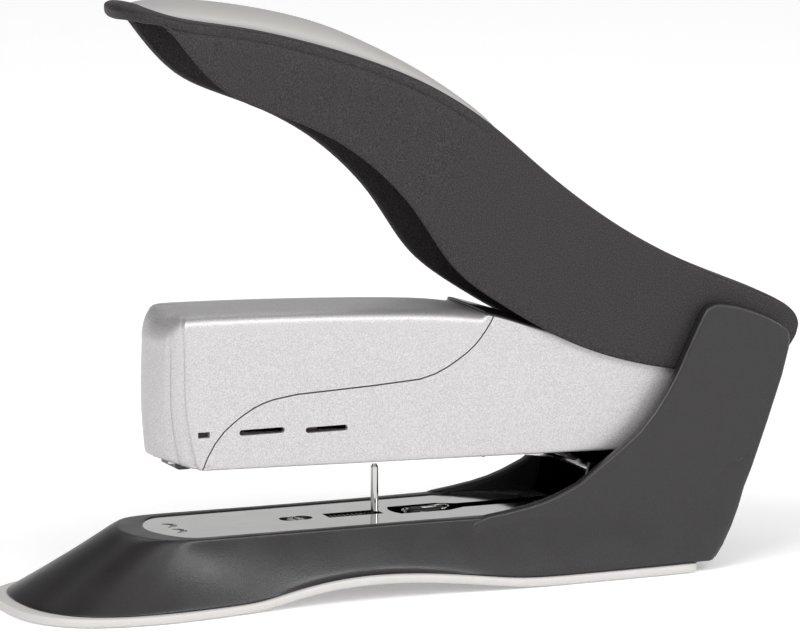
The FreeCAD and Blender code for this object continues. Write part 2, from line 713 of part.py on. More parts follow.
HANDLE_TOP = [(-80, 199.7), (-63.5, 197.2), (-47, 193.3), (-32, 188.8), (-8.3, 180.2), (5.7, 173.5),
              (17.4, 166.8), (32.7, 155.2), (45.2, 143.8), (55.7, 135.2), (66.1, 127.3), (76.6, 120.1),
              (87.1, 113.9), (97.7, 108.3), (108.2, 103.4), (118.9, 98.9), (129.5, 94.4), (134.8, 92.2)]
HANDLE_UNDER = [(89.9, 70.7), (67.4, 77.1), (52.4, 83.7), (37.5, 92.7), (18.0, 105.6), (12.1, 111.5),
                (-1.3, 131.9), (-11.4, 142.9), (-21.3, 151.4), (-32.2, 158.5), (-46.7, 165.4),
                (-61.1, 170.6),
                (-68.2, 174.2), (-75.4, 179.7), (-82.5, 187.8), (-88.5, 196.2)]
# Half widths of the handle from above: (x, half width).
HANDLE_HALVES = [(-92, 22.2), (-84, 23.1), (-66, 24), (-45, 23.8), (-15, 22.6), (14, 21.2), (50, 21.0)]


def handle_plan(inset):
    near = [(x, inset - y) for x, y in HANDLE_HALVES]
    far = [(x, y - inset) for x, y in reversed(HANDLE_HALVES)]
    front = -104.5 + inset
    rear = 160.0
    lip = [(front + 6.2, 17 - inset), (front + 2, 10 - inset * 0.5), (front, 0),
           (front + 2, inset * 0.5 - 10),
           (front + 6.2, inset - 17)]
    return [(rear, 21.0 - inset), far[0], tuple(["curve"] + far[1:] + lip + near), (rear, inset - 21.0)]


def make_handle_shell():
    """The black channel-shaped lever, open underneath, with its walls swept back at the front."""
    side = [(-104.6, 202.6), ("curve", (-103.6, 203.8), (-99, 204.2), (-92, 203.0), *HANDLE_TOP),
            ("curve", (140.2, 88.7), (142.5, 85.0),
            (142.2, 81.6), (139.7, 76.6)), ("curve", (134, 70.4), (126, 67.6), (112, 67.6), (101.2, 69.2)),
            ("curve", *HANDLE_UNDER), ("curve", (-91.5, 199.0), (-96, 200.2), (-103.6, 200.9))]
    outer = combine("Common", "handle_outer", [slab("handle_side", "side", side, "60"),
                                               slab("handle_plan", "plan", handle_plan(0.0), "600")])
    roof = size("handle_roof")
    under_roof = [(x - roof * 0.35, z - roof) for x, z in HANDLE_TOP if x < 126]
    hollow_side = [(-110, 199.6), (-97, 199.6), (-91, 198.4), tuple(["curve"] + under_roof),
                   ("curve", (130, 91.4), (137, 87.4),
                   (138.6, 84.2), (137.6, 80), (134, 60)), (-110, 60)]
    hollow = combine("Common", "handle_hollow", [slab("hollow_side", "side", hollow_side, "60"),
                                                 slab("hollow_plan", "plan", handle_plan(2.1), "600")])
    x, z = size("handle_pin_x"), size("handle_pin_z")
    pin_hole = rod("handle_pin_hole", (x, -25, z), (x, 25, z), "dims.pin_radius + dims.bore_clearance")
    return cut("handle_shell", outer, [hollow, pin_hole])


# The domed beige insert: (x, half width, height of its crest, height of the handle under it).
INSERT_STATIONS = [(-90.2, 6.0, 204.7, 202.9), (-87.5, 13.2, 205.1, 202.3), (-82, 16.8, 205.3, 201.2),
                   (-68.9, 19.5, 204.2, 198.5), (-48, 20.4, 200.6, 193.9), (-23.6, 19.9, 193.4, 186.1),
                   (-5, 18.7, 184.2, 178.7), (12.2, 16.4, 174.0, 169.9), (26, 13.0, 164.2, 160.8),
                   (36, 6.0, 155.0, 152.2)]


def make_insert():
    sections = []
    for number, (x, half, crest, seat) in enumerate(INSERT_STATIONS):
        floor = seat - 1.5
        edge = seat + 0.6
        path = [(-half, floor), (half, floor), (half, edge), ("arc", (0, crest), (-half, edge))]
        sections.append(free_sketch("insert_%d" % number, "cross", path, x))
    dome = loft("insert_dome", sections)
    return cut("handle_insert", dome, [doc.getObject("handle_outer")])


def make_liner():
    """The steel channel under the handle's roof that hangs on the pin."""
    body = DesignBody("handle_liner")
    x, z = size("handle_pin_x"), size("handle_pin_z")
    body.pad("side", [(42, 141.4), (55.7, 130.4), (66.1, 122.6), (76.6, 115.4), (87.1, 109.2),
                      (97.7, 103.6),
                      (108.2, 98.6), (120, 93.4), (128, 89.4), (x + 7, z), ("arc", (x, z - 7), (x - 7, z)),
                      (110, 90.0), (97, 96.6), (86, 102.2), (66, 115.4), (40, 135)], "dims.liner_width")
    body.pocket("side", [(35, 140.2), (42, 139.6), (55.7, 128.6), (66.1, 120.8), (76.6, 113.6),
                         (87.1, 107.4), (97.7, 101.8),
                         (108.2, 96.8), (118, 92.6), (140, 92), (140, 50), (35, 50)],
                "dims.liner_width - 2 * dims.liner_gauge")
    body.pocket("side", circle_path(x, z, size("pin_radius") + size("bore_clearance")), "60")
    return body.body


# ---------------------------------------------------------------- build and export

nodes = [make_housing(), make_sole(), make_plate(), make_plate_screw(), make_base_frame(), make_head_pin(),
         make_clips(), make_frame_screws(), make_lift_leaf(), make_leaf_rod(), make_rack(), make_slider(),
         make_post()]
nodes += make_head_shells()
nodes += [make_head_frame(), make_rear_cover()]
nodes += make_simple_pins()
nodes += [make_power_spring(), make_handle_spring(), make_magazine(), make_rod(), make_pusher(),
          make_nose_panel(), make_nose_foot(), make_striker(), make_lever(), make_release(),
          make_handle_shell(), make_insert(), make_liner()]
doc.recompute()

for item in doc.Objects:
    if "Invalid" in item.State or "Error" in item.State:
        raise RuntimeError("%s failed: %s" % (item.Name, item.State))

for node in nodes:
    node.Label = node.Name
    if node.Shape.isNull() or not node.Shape.isValid():
        raise RuntimeError("%s has no valid shape" % node.Label)

for node in nodes:
    node.Shape.exportStep(os.path.join("parts", node.Label + ".step"))
    print("%-20s %2d solids %10.1f mm3" % (node.Label, len(node.Shape.Solids), node.Shape.Volume))
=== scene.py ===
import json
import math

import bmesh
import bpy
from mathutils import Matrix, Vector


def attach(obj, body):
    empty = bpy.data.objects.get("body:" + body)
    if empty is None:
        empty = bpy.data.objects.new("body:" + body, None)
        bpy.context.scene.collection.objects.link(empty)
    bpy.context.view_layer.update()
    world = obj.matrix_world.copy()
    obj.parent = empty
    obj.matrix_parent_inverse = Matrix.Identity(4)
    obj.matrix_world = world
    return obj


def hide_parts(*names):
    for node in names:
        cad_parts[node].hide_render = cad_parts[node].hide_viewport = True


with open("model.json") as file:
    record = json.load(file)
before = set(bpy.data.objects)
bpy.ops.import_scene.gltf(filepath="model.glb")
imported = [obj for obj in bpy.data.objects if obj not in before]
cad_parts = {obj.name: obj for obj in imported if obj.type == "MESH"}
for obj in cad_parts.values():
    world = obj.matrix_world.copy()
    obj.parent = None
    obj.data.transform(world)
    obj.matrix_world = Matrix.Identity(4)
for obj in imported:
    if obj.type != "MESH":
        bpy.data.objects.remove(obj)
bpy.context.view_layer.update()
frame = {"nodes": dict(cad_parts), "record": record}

# %% [markdown]
# # A heavy-duty stapler, dressed for its portrait
#
# The engineering model gives every part its place: base, head, handle, magazine and their pivots.
# This lesson gives the parts their looks.  Most steel and small plastic parts keep their engineered
# shape and only get a finish.  The big mouldings, where the eye rests, are modelled again with
# soft edges, seams and rounded lips.  Outlines and sizes are written in millimetres, and `MM` turns
# them into the scene's metres; only the lamps and the camera are placed in metres.

MM = 0.001

# %% [markdown]
# ## Shader sums
#
# A finish is mostly arithmetic on textures.  Written as nodes that is long; wrapped in one small
# class it reads as ordinary sums, so `pebbles * 0.8 + fine * 0.4` builds its own Math nodes.  Every
# other node comes from `Finish.node`, which takes the node's type, its settings and its sockets.

# %% A socket that does arithmetic
class Wire:
    """An output socket; sums on it add Math nodes."""

    def __init__(self, finish, socket):
        self.finish = finish
        self.socket = socket

    def math(self, operation, first, second):
        return self.finish.node("ShaderNodeMath", {"operation": operation}, first, second)

    def __add__(self, other):
        return self.math("ADD", self, other)

    def __mul__(self, other):
        return self.math("MULTIPLY", self, other)


# %% A material being built
class Finish:
    """A Principled material and the nodes that feed it."""

    def __init__(self, name, **constants):
        self.material = bpy.data.materials.new(name)
        self.material.use_nodes = True
        self.tree = self.material.node_tree
        self.shader = self.tree.nodes["Principled BSDF"]
        self.place = self.node("ShaderNodeTexCoord", {}, output="Object")
        for socket, value in constants.items():
            self.feed(socket.replace("_", " "), value)

    def feed(self, socket, value):
        target = self.shader.inputs[socket]
        if isinstance(value, Wire):
            self.tree.links.new(value.socket, target)
        else:
            target.default_value = value

    def node(self, kind, settings, *inputs, output=0, **named):
        node = self.tree.nodes.new(kind)
        for key, value in settings.items():
            setattr(node, key, value)
        for key, value in list(enumerate(inputs)) + list(named.items()):
            socket = node.inputs[key if isinstance(key, int) else key.replace("_", " ")]
            if isinstance(value, Wire):
                self.tree.links.new(value.socket, socket)
            elif value is not None:
                socket.default_value = value
        return Wire(self, node.outputs[output])

    def noise(self, size_mm, detail=2.0, roughness=0.5, place=None):
        """Noise whose features are about size_mm across."""
        return self.node("ShaderNodeTexNoise", {}, Vector=place or self.place, Scale=1 / (size_mm * MM),
                         Detail=detail, Roughness=roughness)

    def cells(self, size_mm):
        """Distance inside pebble-like cells about size_mm across."""
        return self.node("ShaderNodeTexVoronoi", {}, Vector=self.place, Scale=1 / (size_mm * MM))

    def ramp(self, value, low, high, to_low=0.0, to_high=1.0):
        """Value stretched from low..high to to_low..to_high, and held there."""
        return self.node("ShaderNodeMapRange", {}, value, low, high, to_low, to_high)

    def blend(self, share, first, second):
        """A colour between two colours."""
        mix = self.tree.nodes.new("ShaderNodeMix")
        mix.data_type = "RGBA"
        for index, value in ((0, share), (6, first), (7, second)):
            if isinstance(value, Wire):
                self.tree.links.new(value.socket, mix.inputs[index])
            else:
                mix.inputs[index].default_value = value
        return Wire(self, mix.outputs[2])

    def bump(self, height, depth_mm, strength=1.0):
        normal = self.node("ShaderNodeBump", {}, Strength=strength, Distance=depth_mm * MM, Height=height,
                           output="Normal")
        self.feed("Normal", normal)


def grey(value, warmth=0.0):
    """A grey, a little red and short of blue where warmth is above 0."""
    return (value * (1 + warmth), value, value * (1 - warmth), 1.0)


# %% [markdown]
# ## Finishes
#
# Moulded black plastic comes in two textures here.  The base has a leather-like grain that is
# etched into the mould; the handle has a finer, drier spark-eroded texture.  The base's bump is
# pebbles plus fine noise, the handle's is two fine noises, and the glossy inner parts have hardly
# any.

# %% Black plastics
def black_grain():
    f = Finish("black_grain", Specular_IOR_Level=0.5)
    pebbles = f.cells(0.75)
    fine = f.noise(0.35, detail=3)
    soft = f.noise(14, detail=2)
    dark, light = (0.010, 0.0088, 0.0098, 1), (0.019, 0.0168, 0.0184, 1)
    f.feed("Base Color", f.blend(f.ramp(fine, 0.3, 0.7), dark, light))
    f.feed("Roughness", f.ramp(soft, 0.3, 0.7, 0.28, 0.38))
    f.bump(pebbles * 0.8 + fine * 0.4, 0.05, 0.6)
    return f.material


def black_matte():
    f = Finish("black_matte", Specular_IOR_Level=0.4)
    fine = f.noise(0.42, detail=2)
    speck = f.noise(0.62, detail=1)
    dark, light = (0.006, 0.0046, 0.0054, 1), (0.034, 0.027, 0.031, 1)
    f.feed("Base Color", f.blend(f.ramp(fine, 0.42, 0.62), dark, light))
    f.feed("Roughness", f.ramp(speck, 0.3, 0.7, 0.52, 0.64))
    f.bump(fine + speck * 0.6, 0.12, 1.0)
    return f.material


def black_gloss():
    f = Finish("black_gloss", Specular_IOR_Level=0.5)
    haze = f.noise(6, detail=3)
    f.feed("Base Color", f.blend(haze, grey(0.010), grey(0.018)))
    f.feed("Roughness", f.ramp(haze, 0.3, 0.7, 0.16, 0.28))
    f.bump(haze, 0.02, 0.3)
    return f.material


# %% [markdown]
# The palm insert and the sole are the same warm grey in two strengths: a little more red than blue,
# with a cloudy drift so that the big dome doesn't look printed.  A plain colour would be quicker, but
# it looks like plastic only when its roughness varies too.

# %% Warm grey plastic and the sole's softer pad
def warm_grey(name, value, roughness):
    f = Finish(name, Specular_IOR_Level=0.4)
    cloud = f.noise(20, detail=2)
    fine = f.noise(0.4, detail=2)
    f.feed("Base Color", f.blend(f.ramp(cloud, 0.35, 0.65), grey(value * 0.97, 0.035), grey(value, 0.03)))
    f.feed("Roughness", f.ramp(fine, 0.3, 0.7, roughness, roughness + 0.1))
    f.bump(fine, 0.02, 0.35)
    return f.material


# %% [markdown]
# The head is sprayed with silver paint.  Its sparkle is tiny flakes that lie at slightly different
# angles.  Real flakes could be scattered by the thousand; a fine noise that drives colour and bump
# gives the same speckle from any distance and costs nothing.

# %% Silver paint with metal flake
def silver_paint():
    f = Finish("silver_paint", Metallic=0.7)
    flake = f.noise(0.26, detail=2, roughness=0.6)
    tiny = f.cells(0.24)
    shine = f.ramp(flake, 0.38, 0.62)
    f.feed("Base Color", f.blend(shine, (0.42, 0.41, 0.415, 1), (0.64, 0.625, 0.632, 1)))
    f.feed("Roughness", f.ramp(tiny, 0.1, 0.7, 0.40, 0.50))
    f.bump(flake + tiny * 0.3, 0.012, 0.2)
    return f.material


# %% [markdown]
# Plate, frame and springs are bare steel.  Rolling and drawing leave streaks along the part, so the
# noise is stretched along the length and feeds the roughness, where it shows as a soft sheen.

# %% Bare metals
STEEL_WARMTH = 0.01


def steel(name, value, roughness):
    """Metal with faint rolling streaks along its length."""
    f = Finish(name, Metallic=1.0)
    drawn = f.node("ShaderNodeMapping", {}, f.place, Scale=(0.06, 1.0, 1.0))
    streak = f.noise(0.36, detail=3, place=drawn)
    cloud = f.noise(9, detail=2)
    dull, clear = grey(value * 0.92, STEEL_WARMTH), grey(value, STEEL_WARMTH)
    f.feed("Base Color", f.blend(f.ramp(cloud, 0.3, 0.7), dull, clear))
    f.feed("Roughness", f.ramp(streak, 0.3, 0.7, roughness * 0.8, roughness * 1.25))
    f.bump(streak, 0.004, 0.4)
    return f.material


def copper():
    f = Finish("copper", Metallic=1.0)
    cloud = f.noise(3, detail=3)
    f.feed("Base Color", f.blend(cloud, (0.42, 0.22, 0.12, 1), (0.62, 0.36, 0.22, 1)))
    f.feed("Roughness", f.ramp(cloud, 0.3, 0.7, 0.28, 0.42))
    return f.material


FINISH = {
    "black_satin": black_grain(),
    "black_matte": black_matte(),
    "black_plastic": black_gloss(),
    "black_steel": steel("black_steel", 0.03, 0.22),
    "warm_grey_plastic": warm_grey("warm_grey_plastic", 0.50, 0.42),
    "warm_grey_rubber": warm_grey("warm_grey_rubber", 0.37, 0.52),
    "silver_paint": silver_paint(),
    "polished_steel": steel("polished_steel", 0.58, 0.09),
    "zinc_steel": steel("zinc_steel", 0.55, 0.34),
    "spring_steel": steel("spring_steel", 0.62, 0.22),
    "copper_metal": copper(),
}
print("finishes:", len(FINISH))

# %% [markdown]
# ## Dressing the engineered parts
#
# Every engineered part names its finish in the record, so one loop dresses them all.

# %% Dress the parts
for entry in frame["record"]["subparts"]:
    part = frame["nodes"][entry["node"]]
    part.data.materials.clear()
    part.data.materials.append(FINISH[entry["material_slot"]])
print("dressed", len(frame["nodes"]), "parts")

# %% [markdown]
# ## Skins
#
# A moulding's outside is easiest to think of as ribs, like the frames of a boat.  The first rib is
# a chain of a few vertices.  Each next one is an extrusion of the last rib's edges, set down on its
# own station.  Only the near half is drawn; a mirror makes the far half, and a Subdivision Surface
# rounds what lies between the ribs.  Two points close together hold an edge tight.

# %% Draw a skin from ribs
def skin(ribs, ring=False):
    """A sheet drawn rib by rib; a ring's ribs are closed.  Points are in millimetres."""
    sheet = bmesh.new()
    row = [sheet.verts.new(Vector(point) * MM) for point in ribs[0]]
    pairs = list(zip(row, row[1:])) + ([(row[-1], row[0])] if ring else [])
    edges = [sheet.edges.new(pair) for pair in pairs]
    for rib in ribs[1:]:
        made = bmesh.ops.extrude_edge_only(sheet, edges=edges)["geom"]
        fresh = {item for item in made if isinstance(item, bmesh.types.BMVert)}
        drawn = [item for item in made if isinstance(item, bmesh.types.BMEdge)]
        edges = [edge for edge in drawn if fresh.issuperset(edge.verts)]
        row = [next(e.other_vert(v) for e in v.link_edges if e.other_vert(v) in fresh) for v in row]
        for vert, point in zip(row, rib):
            vert.co = Vector(point) * MM
    return sheet


MIRROR_WELD_MM = 0.02
POINT_WELD_MM = 0.01


def both_sides(sheet):
    """The near half and its mirror image across the middle, welded."""
    everything = sheet.verts[:] + sheet.edges[:] + sheet.faces[:]
    bmesh.ops.mirror(sheet, geom=everything, axis="Y", merge_dist=MIRROR_WELD_MM * MM)
    return sheet


def prism(outline, y0, y1, round_mm=0.0):
    """A side outline pulled across from y0 to y1, with its long edges rounded."""
    block = bmesh.new()
    face = block.faces.new([block.verts.new(Vector((x, y0, z)) * MM) for x, z in outline])
    made = bmesh.ops.extrude_face_region(block, geom=[face])["geom"]
    moved = [item for item in made if isinstance(item, bmesh.types.BMVert)]
    bmesh.ops.translate(block, vec=(0, (y1 - y0) * MM, 0), verts=moved)
    if round_mm:
        rims = [edge for edge in block.edges if abs(edge.verts[0].co.y - edge.verts[1].co.y) < 1e-7]
        bmesh.ops.bevel(block, geom=rims, offset=round_mm * MM, offset_type="OFFSET", affect="EDGES",
                        segments=3, profile=0.5, material=-1)
    return block


# %% [markdown]
# Every new piece goes through the same steps at the end: weld it, turn its faces outwards, give it
# a wall if it is a sheet, round it, hang it on the body that carries it, and hide the engineered
# parts it stands for.  One function does that, so no piece can miss a step.

# %% Put a piece in the scene
CRISP_ANGLE = 0.6


def put(name, sheet, body, slot, instead_of=(), wall=0.0, soft=2, even=False):
    """Weld the sheet, face it outwards, give it its wall, finish and body.

    Edges that turn by more than CRISP_ANGLE stay crisp on a piece that is not rounded afterwards.
    """
    bmesh.ops.remove_doubles(sheet, verts=sheet.verts[:], dist=POINT_WELD_MM * MM)
    bmesh.ops.recalc_face_normals(sheet, faces=sheet.faces[:])
    middle = sum((vert.co for vert in sheet.verts), Vector()) / len(sheet.verts)
    outward = sum(face.normal.dot(face.calc_center_median() - middle) * face.calc_area()
                  for face in sheet.faces)
    if outward < 0:
        bmesh.ops.reverse_faces(sheet, faces=sheet.faces[:])
    for face in sheet.faces:
        face.smooth = True
    for edge in sheet.edges:
        edge.smooth = soft > 0 or even or edge.calc_face_angle(0) < CRISP_ANGLE
    mesh = bpy.data.meshes.new(name)
    sheet.to_mesh(mesh)
    sheet.free()
    piece = bpy.data.objects.new(name, mesh)
    bpy.context.collection.objects.link(piece)
    mesh.materials.append(FINISH[slot])
    if wall:
        shell = piece.modifiers.new("wall", "SOLIDIFY")
        shell.thickness = wall * MM
        shell.offset = -1
    if soft:
        rounding = piece.modifiers.new("rounding", "SUBSURF")
        rounding.levels = rounding.render_levels = soft
    if even:
        piece.modifiers.new("even_shading", "WEIGHTED_NORMAL")
    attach(piece, body)
    if instead_of:
        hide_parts(*instead_of)
    print(name, "rides on", body, "with", len(mesh.polygons), "faces before rounding")
    return piece


# %% [markdown]
# ## Base moulding
#
# The black base is one hollow moulding: a spade-shaped nose that leans back from the sole to the
# deck, flared sides under a narrow waist, and two upright cheeks.  It is drawn in two parts.  A
# skin runs round the plan from the nose to the rear, and its upper edge tucks into the cheeks
# along the soft crease that the real moulding shows.  The cheeks are prisms with rounded edges.

# %% Sides of the base
RIM, RECESS, SOLE = 25.0, 23.35, 3.4
# Lower x, lower half, upper x, upper half, plate x, plate half.
DECK_STATIONS = [
    (-138.6, 0, -100.6, 0, -90.9, 0), (-138.2, 8, -100.3, 4.6, -90.3, 4.6),
    (-137, 15, -99.5, 9, -88.9, 9.0), (-134.6, 21.6, -98.2, 13.4, -87.0, 13.0),
    (-131, 27, -95.8, 17.4, -84.6, 16.8), (-127, 31.2, -93, 20.6, -81.8, 19.3),
    (-122, 34.2, -90, 22.6, -79.2, 20.15), (-114, 36.8, -85, 24.0, -76, 20.15),
    (-106, 37.8, -80, 24.4, -73, 20.15), (-94, 37.6, -73, 24.5, -68, 20.15),
    (-82, 36, -66, 24.4, -62, 20.15), (-71, 34, -58, 24.3, -55, 20.15),
    (-60, 32.2, -50, 24.2, -48, 20.15), (-46, 31.8, -38, 24.1, -37, 20.15),
    (-30, 31.4, -24, 24.1, -24, 20.15), (-13, 31, -10, 24.1, -10, 20.15), (2, 30.7, 4, 24.5, 4, 20.15),
    (16, 30.5, 17, 25.3, 17, 20.15), (28, 30.2, 28, 25.8, 28, 20.15)]
# Lower x, lower half, crease x, crease height.
CREASE_STATIONS = [(36, 30.1, 36, 25.0), (50, 30, 51, 26.0), (68, 29.5, 69, 29.2), (86, 28.7, 88, 31.9),
                   (97, 28, 102, 34.6), (103, 27.7, 112, 37.6)]


ARCH_FRONT, ARCH_REAR, ARCH_RISE = -61, 38, 6.0


def rise(x):
    """Height of the arch under the waist."""
    if x < ARCH_FRONT or x > ARCH_REAR:
        return 0.0
    share = (x - ARCH_FRONT) / (ARCH_REAR - ARCH_FRONT)
    return ARCH_RISE * math.sin(math.pi * share ** 0.8) ** 1.15


def side_points(low, low_half, top, top_half, height, shares):
    """Points up the flared side, which leans in fast at first and then more slowly."""
    foot = SOLE + rise(low)
    for share in shares:
        z = foot + (height - foot) * share
        lean = max(0.0, 1 - (z - SOLE) / (RIM - SOLE)) ** 1.6
        yield low + (top - low) * share, -(top_half + (low_half - top_half) * lean), z


def deck_rib(low, low_half, top, top_half, plate, plate_half):
    """Sole edge, flared side, rounded rim and the step down to the plate's seat."""
    foot = SOLE + rise(low)
    inward = Vector((plate - top, top_half - plate_half)).normalized()
    lip = [(low + 3 * inward.x, min(0, 3 * inward.y - low_half), foot + 0.3),
           (low + 0.5 * inward.x, min(0, 0.5 * inward.y - low_half), foot)]
    side = list(side_points(low, low_half, top, top_half, RIM, (0.03, 0.2, 0.42, 0.64, 0.84, 0.955)))
    near = [(top + step * inward.x, min(0, step * inward.y - top_half), z)
            for step, z in ((0.25, RIM - 0.25), (0.9, RIM), (2.4, RIM))]
    seat = [(plate - step * inward.x, min(0, -plate_half - step * inward.y), z)
            for step, z in ((0.5, RIM), (0.08, RIM - 0.12), (0, RIM - 0.6), (0, RECESS), (-5, RECESS))]
    centre = 0.0 if plate < -40 else -8.0
    return lip + side + near + seat + [(max(plate, -84), centre, RECESS)]


def crease_rib(low, low_half, top, height):
    """Behind the deck the side's upper edge runs up into the cheek."""
    foot = SOLE + rise(low)
    lip = [(low, 3 - low_half, foot + 0.3), (low, 0.5 - low_half, foot)]
    side = list(side_points(low, low_half, top, 25.9, height, (0.03, 0.2, 0.42, 0.64, 0.84, 0.955)))
    tuck = [(top, y, height + rise_mm) for y, rise_mm in
            ((-25.5, 0.2), (-24.9, 0), (-24.4, -0.5), (-24, -1.2), (-23.8, -1.8), (-23.6, -2.4),
             (-23.4, -3.2), (-23.2, -4), (-23, -5))]
    return lip + side + tuck


REAR_LINE = [(109, 3.4), (112, 8.2), (115.2, 14.5), (118, 21.4), (120.2, 28.5), (125.6, 42), (131.3, 57.6)]


def rear_x(z):
    """Where the sloping rear is at a height."""
    for (x0, z0), (x1, z1) in zip(REAR_LINE, REAR_LINE[1:]):
        if z <= z1:
            return x0 + (x1 - x0) * (z - z0) / (z1 - z0)
    return x1


def rear_rib(half, height, back):
    """The rear wall from the sole to its top edge and over it; back sets a rib in from the slope."""
    lip = [(106.5, -half, SOLE + 0.3), (108.6 - back, -half, SOLE)]
    side = [(rear_x(SOLE + (height - SOLE) * share) - back, -half, SOLE + (height - SOLE) * share)
            for share in (0.03, 0.2, 0.42, 0.64, 0.84, 0.97)]
    x = rear_x(height) - back
    over = [(x - step, -half, height + z) for step, z in
            ((0.3, 0.1), (1.0, 0.5), (2.6, 0.5), (3.6, 0.1), (4.2, -1), (4.9, -3), (6, -6), (7, -9),
             (8, -12))]
    return lip + side + over


REAR_STATIONS = [(26.6, 38.4, 1.6), (25.4, 41, 0.45), (24.2, 44, 0.25), (22.4, 50, 0.25), (21.0, 57, 0.25),
                 (12, 57, 0.2), (0, 57, 0.2)]
ribs = [deck_rib(*station) for station in DECK_STATIONS]
ribs += [crease_rib(*station) for station in CREASE_STATIONS]
ribs += [rear_rib(*station) for station in REAR_STATIONS]
put("base_sides", both_sides(skin(ribs)), "base", "black_satin", ["base_housing"])

# %% [markdown]
# The cheeks hold the head's pivot.  Each is a flat slab whose outline sweeps up from the deck to a
# round top and down the sloping rear.  Lofting them together with the sides would twist the ribs, so
# they are outlines pulled across, with their rims bevelled.

# %% Cheeks
CHEEK = [(17, 21.5), (20, 24.3), (24, 25.5), (31, 26.4), (39, 27.7), (45, 29.1), (50.4, 30.9),
         (58, 34.2), (65.3, 39.4), (73, 44.9), (80.3, 50.6), (86, 57), (90.7, 63.8), (94.8, 70.8),
         (98.2, 77.9), (101.4, 84.4), (104.2, 89.8), (105.2, 91.3), (106.4, 92.3), (108.3, 93.1),
         (110.5, 93.3), (115.8, 92.4), (122.2, 90.4), (128.6, 87.7), (133, 85.3), (135.4, 83.4),
         (136.7, 81.3), (137, 79), (136.8, 76), (136, 73), (134.3, 66.6), (132.2, 60.5), (128.9, 51),
         (125.6, 42), (123, 35), (120.2, 28.5), (117.9, 21.2), (115.2, 14.5), (112.2, 8.6),
         (109.4, 4.4), (104, 4.2), (40, 9), (20, 12)]
for label, outer in (("cheek_near", -26.0), ("cheek_far", 26.0)):
    inner = math.copysign(21.6, outer)
    put(label, prism(CHEEK, outer, inner, round_mm=1.3), "base", "black_satin", soft=0, even=True)

# %% [markdown]
# Between the cheeks the moulding has a lower floor, where the steel frame is screwed down, and a
# short piece of deck that surrounds the tail of the plate.

# %% Well between the cheeks
well = [[(x, y, z) for x, z in ((57.9, 24.7), (57.9, 12.5), (85, 12.5), (110.5, 12.5), (112, 13.5), (117, 30),
                                (124, 47), (126, 54))] for y in (-21.9, 0, 21.9)]
put("base_well", skin(well), "base", "black_plastic", wall=1.2, soft=0)
tail_outer = [(29, -21.9), (38, -21.9), (50, -21.9), (58.4, -21.9), (58.4, -10), (58.4, -3)]
tail_inner = [(29, -20.2), (38, -20.15), (45, -15), (50.2, -10.1), (50.4, -8), (50.4, -3)]
tail = [[(x, y, 24.85) for x, y in tail_outer],
        [(x, y, 24.85) for x, y in tail_inner], [(x, y, 23.4) for x, y in tail_inner]]
put("base_tail_deck", both_sides(skin(tail)), "base", "black_plastic", soft=0)

# %% [markdown]
# ## Sole
#
# A warm grey pad under the whole base, thick enough to show as a pale line.  Its cross sections
# are rounded bars, drawn along the length and closed at both ends.

# %% Sole
SOLE_HALVES = [
    (-141.9, 5), (-141.6, 10), (-140.6, 16.4), (-138.2, 22.8), (-134.5, 28.2), (-130, 32.4),
    (-124.9, 35.4), (-118, 37.8), (-112, 38.8), (-104, 39.3), (-96, 39.2), (-88, 38.2), (-79, 36.8),
    (-70, 34.8), (-60, 33.2), (-48, 32.6), (-34, 32.2), (-20, 32), (-4, 31.7), (12, 31.4), (26, 31.2),
    (38, 31), (60, 30.4), (82, 29.6), (98, 28.9), (104.4, 28.5)]


def sole_ring(x, half):
    low, high = rise(x), rise(x) + SOLE
    across = [(half - 1.4, low), (half - 0.4, low + 0.4), (half, low + 1.3), (half, high - 0.8),
              (half - 0.4, high - 0.2), (half - 1.6, high)]
    return [(x, -y, z) for y, z in across] + [(x, y, z) for y, z in reversed(across)]


sole = skin([sole_ring(*station) for station in SOLE_HALVES], ring=True)
bmesh.ops.holes_fill(sole, edges=sole.edges[:])
put("base_pad", sole, "base", "warm_grey_plastic", ["base_sole"])

# %% [markdown]
# ## Handle
#
# The handle is a channel that the palm pushes down: a roof and two walls, open underneath.
# A smooth band runs along its upper edge with a fine groove below it, and the roof ends at the
# front in a thick rounded lip.  Every rib joins a point of the upper edge to a point of the
# lower edge, so the walls can turn from the lip into the deep rear without twisting.

